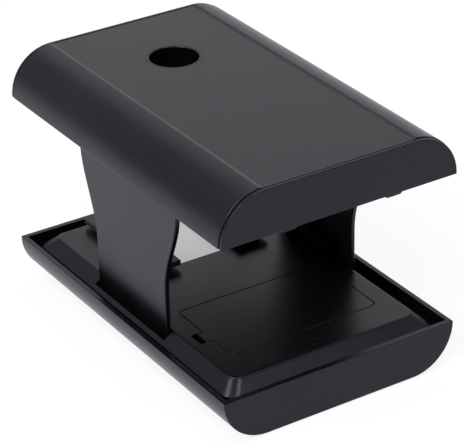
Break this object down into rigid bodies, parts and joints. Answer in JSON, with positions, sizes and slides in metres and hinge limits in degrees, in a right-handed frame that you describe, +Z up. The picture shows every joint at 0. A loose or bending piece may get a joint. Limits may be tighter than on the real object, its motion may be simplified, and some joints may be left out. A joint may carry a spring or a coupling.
{
  "type": "folding film negative scanner",
  "caption": "Folding stand for photographing 35 mm film: lit base with film guides, fold-down side legs and a lift-off cover with a camera hole.",
  "frame": {"origin": "on the table under the middle of the four feet", "axes": "+Z up, +Y along the body from the battery end to the light window end, +X across the body"},
  "size_m": [0.09, 0.134, 0.0883],
  "materials": {
    "shell_plastic": "fine spark texture",
    "button_plastic": "smooth",
    "opal_window": "opal, lit from below",
    "white_plastic": "smooth",
    "circuit_board": "solder mask",
    "led_package": "phosphor gel",
    "foot_rubber": "matte",
    "steel": "zinc plated",
    "cell_sleeve": "shrink sleeve"
  },
  "bodies": {
    "base": {"base_shell": "shell_plastic", "deck": "shell_plastic", "left_hinge_pin": "steel", "right_hinge_pin": "steel", "light_box": "white_plastic", "light_board": "circuit_board", "diffuser_window": "opal_window", "film_guide_left": "shell_plastic", "film_guide_right": "shell_plastic", "control_board": "circuit_board", "tact_switch": "button_plastic", "led_left_1": "led_package", "led_right_1": "led_package", "led_left_2": "led_package", "led_right_2": "led_package", "led_left_3": "led_package", "led_right_3": "led_package", "base_screw_1": "steel", "base_screw_2": "steel", "base_screw_3": "steel", "base_screw_4": "steel", "foot_1": "foot_rubber", "foot_2": "foot_rubber", "foot_3": "foot_rubber", "foot_4": "foot_rubber", "battery_cell_near": "cell_sleeve", "battery_cell_far": "cell_sleeve", "contact_bridge": "steel", "contact_positive": "steel", "contact_negative": "steel"},
    "left_leg": {"left_leg": "shell_plastic"},
    "right_leg": {"right_leg": "shell_plastic"},
    "battery_door": {"battery_door": "shell_plastic"},
    "power_button": {"power_button": "button_plastic"},
    "cover": {"cover_shell": "shell_plastic", "cover_rail_left": "shell_plastic", "cover_rail_right": "shell_plastic", "cover_cap_near": "shell_plastic", "cover_cap_far": "shell_plastic"}
  },
  "joints": [
    {"name": "left_leg_unfold", "type": "hinge", "parent": "base", "child": "left_leg", "pos_m": [-0.0336, 0.0014, 0.0209], "axis": [0, -1, 0], "range_deg": [-90, 0]},
    {"name": "right_leg_unfold", "type": "hinge", "parent": "base", "child": "right_leg", "pos_m": [0.0336, 0.0014, 0.0232], "axis": [0, 1, 0], "range_deg": [-90, 0]},
    {"name": "battery_door_open", "type": "hinge", "parent": "base", "child": "battery_door", "pos_m": [0.0291, -0.029, 0.0185], "axis": [0, 1, 0], "range_deg": [0, 75]},
    {"name": "power_button_press", "type": "slide", "parent": "base", "child": "power_button", "axis": [0, 0, -1], "range_m": [0, 0.0008], "stiffness_N_per_m": 300},
    {"name": "cover_lift_off", "type": "slide", "parent": "base", "child": "cover", "axis": [0, 0, 1], "range_m": [0, 0.04]}
  ]
}
